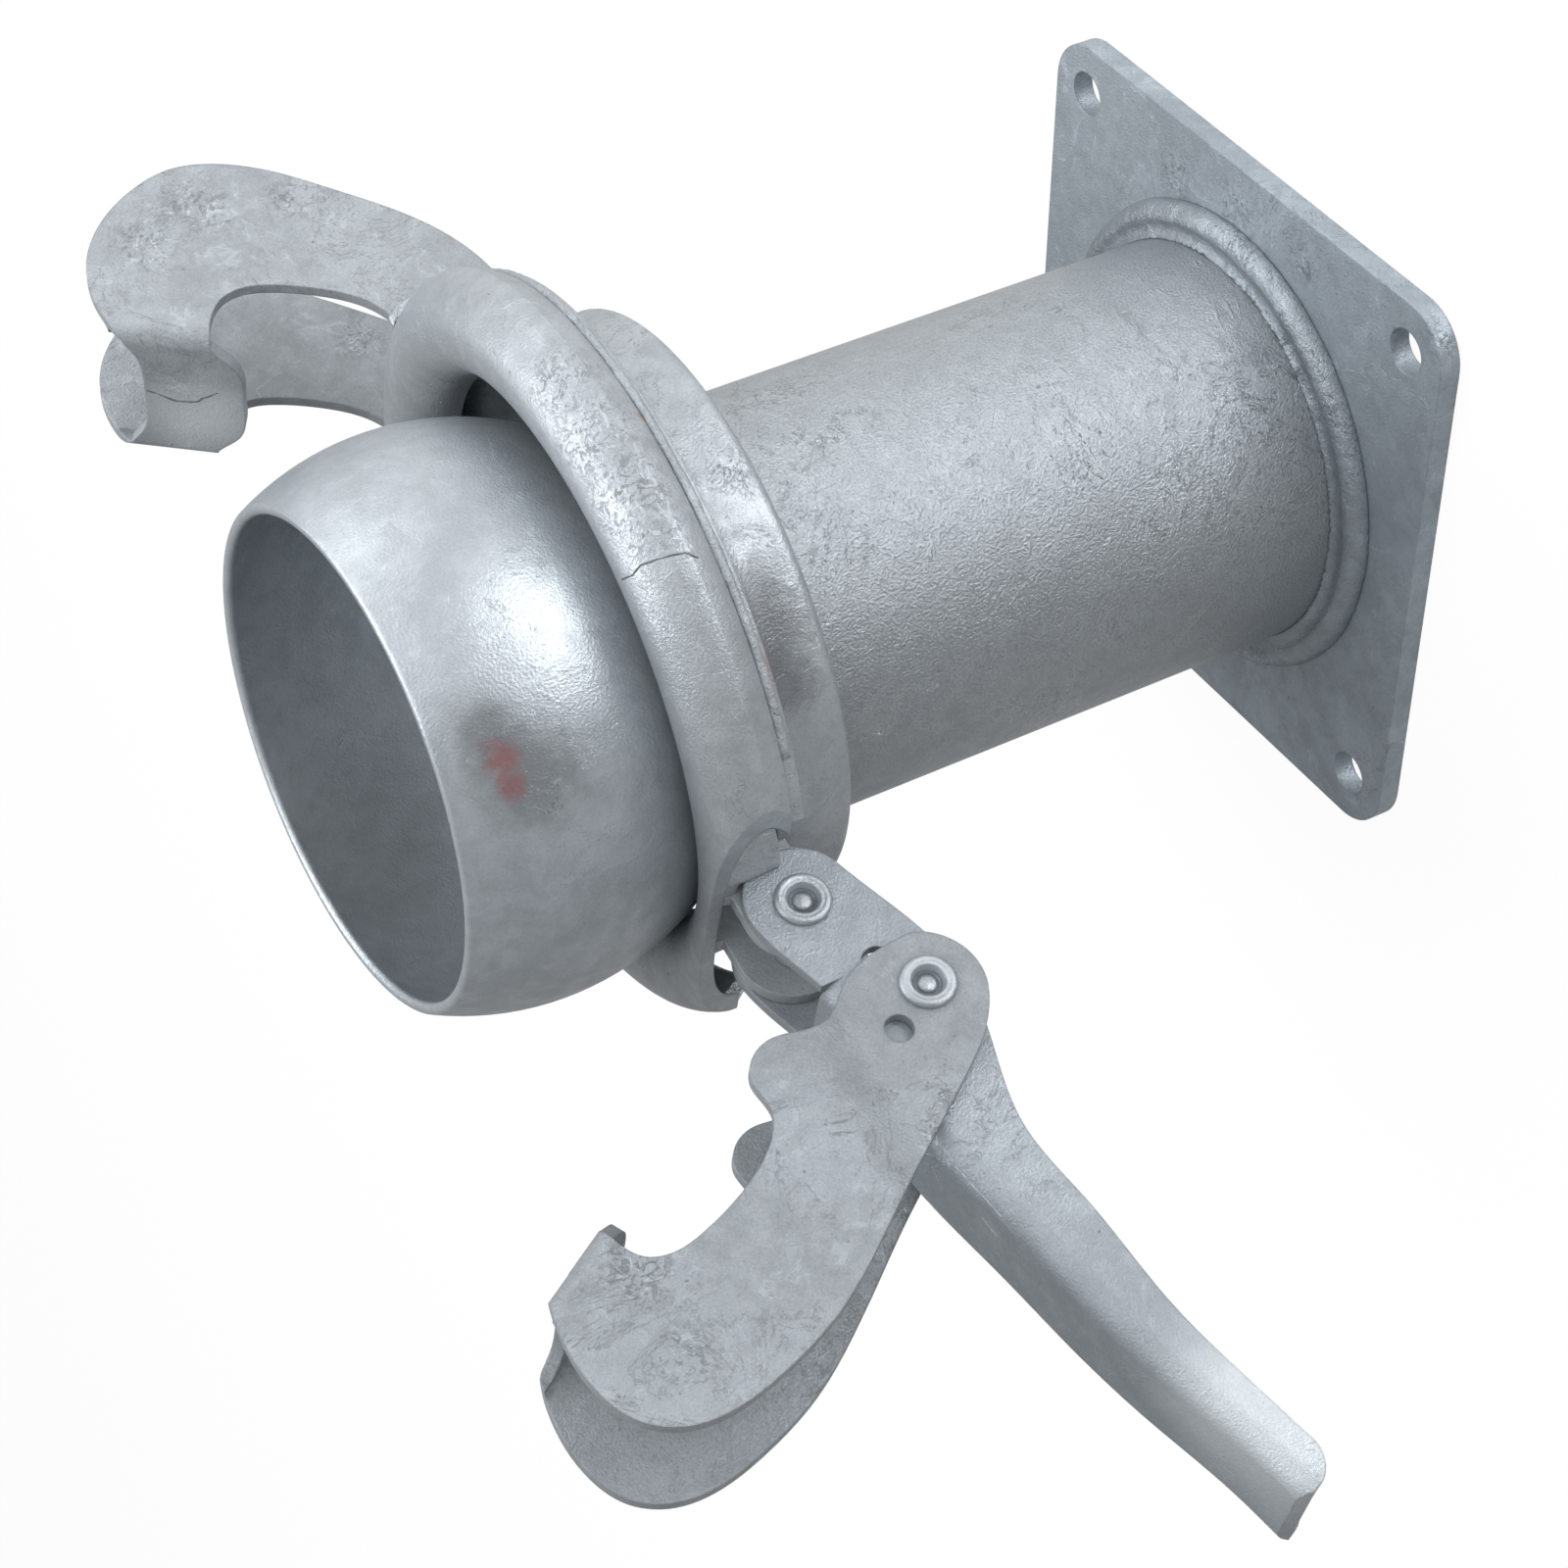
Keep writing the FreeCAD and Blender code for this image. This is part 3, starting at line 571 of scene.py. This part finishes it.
def lineTree():
    tree = startTree("surfaceLine", {
        "Radius": lineLook["radius"],
        "Step": lineLook["step"],
        "Wobble": lineLook["wobble"],
        "Wobble Scale": lineLook["wobbleScale"],
    })
    given = addNode(tree, "NodeGroupInput")
    curve = addNode(tree, "GeometryNodeMeshToCurve")
    feed(tree, curve, 0, given.outputs["Geometry"])
    even = addNode(tree, "GeometryNodeResampleCurve", mode="LENGTH")
    feed(tree, even, "Curve", curve.outputs[0])
    feed(tree, even, "Length", given.outputs["Step"])
    shake = addNode(tree, "ShaderNodeTexNoise")
    feed(tree, shake, "Scale", given.outputs["Wobble Scale"])
    centred = addNode(tree, "ShaderNodeVectorMath", operation="SUBTRACT")
    feed(tree, centred, 0, shake.outputs["Color"])
    centred.inputs[1].default_value = (0.5, 0.5, 0.5)
    offset = addNode(tree, "ShaderNodeVectorMath", operation="SCALE")
    feed(tree, offset, 0, centred.outputs[0])
    feed(tree, offset, "Scale", given.outputs["Wobble"])
    moved = addNode(tree, "GeometryNodeSetPosition")
    feed(tree, moved, "Geometry", even.outputs[0])
    feed(tree, moved, "Offset", offset.outputs[0])
    thick = addNode(tree, "GeometryNodeSetCurveRadius")
    feed(tree, thick, "Curve", moved.outputs[0])
    feed(tree, thick, "Radius",
         maths(tree, "MULTIPLY_ADD", shake.outputs["Fac"], lineLook["swell"], lineLook["thin"]))
    ring = addNode(tree, "GeometryNodeCurvePrimitiveCircle")
    ring.inputs["Resolution"].default_value = lineLook["sides"]
    feed(tree, ring, "Radius", given.outputs["Radius"])
    tube = addNode(tree, "GeometryNodeCurveToMesh")
    feed(tree, tube, "Curve", thick.outputs[0])
    feed(tree, tube, "Profile Curve", ring.outputs[0])
    tube.inputs["Fill Caps"].default_value = True
    return endTree(tree, given, tube.outputs[0])


surfaceLine = lineTree()
for name, (nodeName, finish, radius, wobble, runs) in surfaceLines.items():
    points, edges = [], []
    for run in runs:
        corners = [Vector(pixel) for pixel in run]
        shares = [part / lineLook["parts"] for part in range(lineLook["parts"])]
        steps = [start.lerp(end, share) for start, end in zip(corners, corners[1:]) for share in shares]
        for index, (pixelX, pixelY) in enumerate(steps + corners[-1:]):
            spot, facing = pointOn(nodeName, pixelX, pixelY)
            if index:
                edges.append((len(points) - 1, len(points)))
            points.append(spot - facing * radius * lineLook["sunk"])
    mesh = bpy.data.meshes.new(name)
    mesh.from_pydata(points, edges, [])
    line = addObject(name, mesh)
    runTree(line, surfaceLine, {"Radius": radius, "Wobble": wobble, "Finish": finish})
    carry(line, nodeName)
print("seams and scratches laid")


# small pimples of zinc left where the coat drained
dropLook = {
    "perSquareMetre": 900.0,
    "small": 0.00012,
    "large": 0.00042,
    "flat": 0.55,
    "roundness": 2,
    "lowest": 0.003,       # none on the plate's back, which is bolted down flat
}
# each set's name, drops for each square metre and seed
dropSets = {
    "pipe_tube": ("pipeDrops", 700.0, 11),
    "ring_hood": ("hoodDrops", 1500.0, 12),
    "flange_plate": ("flangeDrops", 900.0, 13),
    "moving_hook": ("movingHookDrops", 900.0, 14),
    "fixed_hook": ("fixedHookDrops", 900.0, 15),
    "lever_handle": ("leverDrops", 800.0, 16),
}


def dropTree():
    tree = startTree("zincDrops", {
        "Density": dropLook["perSquareMetre"],
        "Smallest": dropLook["small"],
        "Largest": dropLook["large"],
        "Lowest": dropLook["lowest"],
        "Seed": 1,
    })
    given = addNode(tree, "NodeGroupInput")
    spread = addNode(tree, "GeometryNodeDistributePointsOnFaces")
    feed(tree, spread, "Mesh", given.outputs["Geometry"])
    feed(tree, spread, "Density", given.outputs["Density"])
    feed(tree, spread, "Seed", given.outputs["Seed"])
    heights = addNode(tree, "ShaderNodeSeparateXYZ")
    feed(tree, heights, 0, addNode(tree, "GeometryNodeInputPosition").outputs[0])
    above = addNode(tree, "FunctionNodeCompare", data_type="FLOAT", operation="GREATER_THAN")
    feed(tree, above, 0, heights.outputs[2])
    feed(tree, above, 1, given.outputs["Lowest"])
    feed(tree, spread, "Selection", above.outputs[0])
    ball = addNode(tree, "GeometryNodeMeshIcoSphere")
    ball.inputs["Subdivisions"].default_value = dropLook["roundness"]
    flat = addNode(tree, "GeometryNodeTransform")
    feed(tree, flat, "Geometry", ball.outputs[0])
    flat.inputs["Scale"].default_value = (1.0, 1.0, dropLook["flat"])
    size = addNode(tree, "FunctionNodeRandomValue", data_type="FLOAT")
    limits = {"Min": given.outputs["Smallest"], "Max": given.outputs["Largest"]}
    for socket in size.inputs:
        if socket.type == "VALUE" and socket.name in limits:
            tree.links.new(limits[socket.name], socket)
    feed(tree, size, "Seed", given.outputs["Seed"])
    placed = addNode(tree, "GeometryNodeInstanceOnPoints")
    feed(tree, placed, "Points", spread.outputs["Points"])
    feed(tree, placed, "Instance", flat.outputs[0])
    feed(tree, placed, "Rotation", spread.outputs["Rotation"])
    feed(tree, placed, "Scale", next(socket for socket in size.outputs if socket.type == "VALUE"))
    return endTree(tree, given, placed.outputs[0])


zincDrops = dropTree()
for nodeName, (name, density, seed) in dropSets.items():
    drops = cleanCopy(nodeName, name)
    runTree(drops, zincDrops, {"Density": density, "Seed": seed, "Finish": finishOf[nodeName]})
    carry(drops, nodeName)
print("zinc drops scattered")


# rivet heads: a rolled rim, a dished recess and a domed button, one at each end
rivetLook = {
    # radius and height above the plate, in millimetres, from the outside in
    "profile": ((6.75, -0.3), (6.78, 0.8), (6.45, 1.45), (5.8, 1.68), (5.05, 1.62), (4.75, 1.3), (4.35, 1.2),
                (3.45, -0.25), (2.9, -0.5), (2.4, -0.2), (1.5, 0.12), (0.0, 0.22)),
    "steps": 56,
}
# each pair's name, joint and millimetres from the middle to the outer plates' faces
rivetPairs = {
    "lever_rivet": ("leverRivetHeads", "lever_pivot", 15.3),
    "hook_rivet": ("hookRivetHeads", "hook_pivot", 18.8),
}


def turnedHead():
    points, faces = [], []
    steps = rivetLook["steps"]
    profile = rivetLook["profile"]
    rows = len(profile) - 1
    for radius, height in profile[:-1]:
        for step in range(steps):
            angle = math.tau * step / steps
            points.append((radius * math.cos(angle) / 1000, radius * math.sin(angle) / 1000, height / 1000))
    points.append((0, 0, profile[-1][1] / 1000))
    points.append((0, 0, profile[0][1] / 1000))
    for row in range(rows - 1):
        outer, inner = row * steps, (row + 1) * steps
        for step in range(steps):
            after = (step + 1) % steps
            faces.append((outer + step, outer + after, inner + after, inner + step))
    last = (rows - 1) * steps
    for step in range(steps):
        after = (step + 1) % steps
        faces.append((last + step, last + after, len(points) - 2))
        faces.append((after, step, len(points) - 1))
    mesh = bpy.data.meshes.new("turnedHead")
    mesh.from_pydata(points, [], faces)
    return mesh


def headTree():
    tree = startTree("rivetHeads", {"Size": 1.0})
    tree.interface.new_socket("Head", in_out="INPUT", socket_type="NodeSocketObject")
    given = addNode(tree, "NodeGroupInput")
    shape = addNode(tree, "GeometryNodeObjectInfo")
    feed(tree, shape, "Object", given.outputs["Head"])
    facing = addNode(tree, "GeometryNodeInputNamedAttribute", data_type="FLOAT_VECTOR")
    facing.inputs["Name"].default_value = "facing"
    aim = addNode(tree, "FunctionNodeAlignRotationToVector", axis="Z")
    feed(tree, aim, "Vector", facing.outputs[0])
    placed = addNode(tree, "GeometryNodeInstanceOnPoints")
    feed(tree, placed, "Points", given.outputs["Geometry"])
    feed(tree, placed, "Instance", shape.outputs["Geometry"])
    feed(tree, placed, "Rotation", aim.outputs[0])
    feed(tree, placed, "Scale", given.outputs["Size"])
    return endTree(tree, given, placed.outputs[0])


head = addObject("turnedHead", turnedHead())
twoHeads = headTree()
# the ring hangs a little out of square, so the rivets' axis is taken from their joint
rivetAxis = Vector(joints["lever_pivot"]["axis"]).normalized()
for nodeName, (name, jointName, out) in rivetPairs.items():
    middle = Vector(joints[jointName]["pos_m"])
    mesh = bpy.data.meshes.new(name)
    mesh.from_pydata([middle + rivetAxis * way * out / 1000 for way in (1, -1)], [], [])
    facing = mesh.attributes.new("facing", "FLOAT_VECTOR", "POINT")
    for item, way in zip(facing.data, (1, -1)):
        item.vector = rivetAxis * way
    pair = addObject(name, mesh)
    runTree(pair, twoHeads, {"Head": head, "Finish": rivetZinc})
    carry(pair, nodeName)
bpy.data.objects.remove(head)
print("rivet heads set")


studio = {
    "floorSize": 6.0,
    "floorDrop": 0.0005,
    "floorColour": (0.97, 0.97, 0.97, 1.0),
    "floorRough": 0.9,
    "shadowKept": 0.06,
    # what the metal mirrors: right, up and back of the photo's camera, and how bright
    "mirrorBase": 0.38,
    "ceiling": {"towards": (0.0, 1.0, 0.0), "tightness": 2.0, "strength": 1.2},
    "softbox": {"towards": (0.57, 0.52, 0.64), "tightness": 34.0, "strength": 12.0},
    # the soft fill that falls on the part from the camera's side
    "fill": {"towards": (0.0, 0.0, 1.0), "tightness": 2.0, "strength": 2.0},
    "middle": (0.0, 0.0, 0.13),
    # the lamps stand to the camera's left: right, up and back of the part's middle
    "lamps": {
        "left": {"at": (-1.57, 0.0, 0.31), "size": 0.9, "power": 20.0},
        "upLeft": {"at": (-1.06, 1.06, 0.53), "size": 0.9, "power": 7.0},
        "frontLeft": {"at": (-0.86, 0.2, 1.3), "size": 0.9, "power": 6.0},
    },
}


def lobe(tree, direction, shape):
    # brightest one way and fading round it
    along = addNode(tree, "ShaderNodeVectorMath", operation="DOT_PRODUCT")
    feed(tree, along, 0, direction)
    along.inputs[1].default_value = inView(*shape["towards"]).normalized()
    near = maths(tree, "POWER", maths(tree, "MAXIMUM", along.outputs["Value"], 0.0), shape["tightness"])
    return maths(tree, "MULTIPLY", near, shape["strength"])


def rayKinds(tree):
    ray = addNode(tree, "ShaderNodeLightPath").outputs
    return ray["Is Camera Ray"], maths(tree, "MAXIMUM", ray["Is Glossy Ray"], ray["Is Transmission Ray"])


def shineFor(tree, rays, direction, otherwise):
    # the camera sees plain white, and mirrors see the pale room
    straight, mirrored = rays
    room = maths(tree, "ADD", lobe(tree, direction, studio["ceiling"]), studio["mirrorBase"])
    room = maths(tree, "ADD", room, lobe(tree, direction, studio["softbox"]))
    pick = addNode(tree, "ShaderNodeMix", data_type="FLOAT")
    feed(tree, pick, 0, mirrored)
    feed(tree, pick, 2, otherwise)
    feed(tree, pick, 3, room)
    return maths(tree, "MAXIMUM", pick.outputs[0], straight)


def paleFloor():
    half = studio["floorSize"] / 2
    low = sizeAtLoad[0][2] - studio["floorDrop"]
    mesh = bpy.data.meshes.new("paleFloor")
    corners = [(x * half, y * half, low) for x, y in ((-1, -1), (1, -1), (1, 1), (-1, 1))]
    mesh.from_pydata(corners, [], [(0, 1, 2, 3)])
    floor = addObject("paleFloor", mesh)
    material = bpy.data.materials.new("pale floor")
    material.use_nodes = True
    tree = material.node_tree
    shader = tree.nodes["Principled BSDF"]
    shader.inputs["Base Color"].default_value = studio["floorColour"]
    shader.inputs["Roughness"].default_value = studio["floorRough"]
    # Incoming points back along the ray
    outward = addNode(tree, "ShaderNodeVectorMath", operation="SCALE")
    feed(tree, outward, 0, addNode(tree, "ShaderNodeNewGeometry").outputs["Incoming"])
    outward.inputs["Scale"].default_value = -1.0
    rays = rayKinds(tree)
    white = addNode(tree, "ShaderNodeEmission")
    feed(tree, white, "Strength", shineFor(tree, rays, outward.outputs[0], 0.0))
    mix = addNode(tree, "ShaderNodeMixShader")
    feed(tree, mix, 0, maths(tree, "MULTIPLY", maths(tree, "MAXIMUM", *rays), 1.0 - studio["shadowKept"]))
    feed(tree, mix, 1, shader.outputs[0])
    feed(tree, mix, 2, white.outputs[0])
    feed(tree, tree.nodes["Material Output"], "Surface", mix.outputs[0])
    mesh.materials.append(material)


def paleWorld():
    world = bpy.data.worlds.new("pale studio")
    bpy.context.scene.world = world
    world.use_nodes = True
    tree = world.node_tree
    backdrop = tree.nodes["Background"]
    backdrop.inputs["Color"].default_value = (1.0, 1.0, 1.0, 1.0)
    direction = addNode(tree, "ShaderNodeTexCoord").outputs["Generated"]
    fill = lobe(tree, direction, studio["fill"])
    feed(tree, backdrop, "Strength", shineFor(tree, rayKinds(tree), direction, fill))


def photoCamera():
    lens = bpy.data.cameras.new("photoCamera")
    lens.lens = photoView["lens"]
    lens.sensor_width = photoView["sensor"]
    lens.sensor_fit = "HORIZONTAL"
    camera = addObject("photoCamera", lens)
    for column, axis in enumerate(viewAxes()):
        for row in range(3):
            camera.matrix_world[row][column] = axis[row]
    camera.matrix_world.translation = Vector(photoView["place"])
    bpy.context.scene.camera = camera


def studioLamps():
    for name, lamp in studio["lamps"].items():
        light = bpy.data.lights.new(name, "AREA")
        light.size = lamp["size"]
        light.energy = lamp["power"]
        made = addObject(name, light)
        outward = inView(*lamp["at"])
        made.location = Vector(studio["middle"]) + outward
        made.rotation_euler = outward.to_track_quat("Z", "Y").to_euler()


bpy.context.scene.view_settings.view_transform = "Standard"
paleFloor()
paleWorld()
photoCamera()
studioLamps()
print("floor, lamps and camera set")
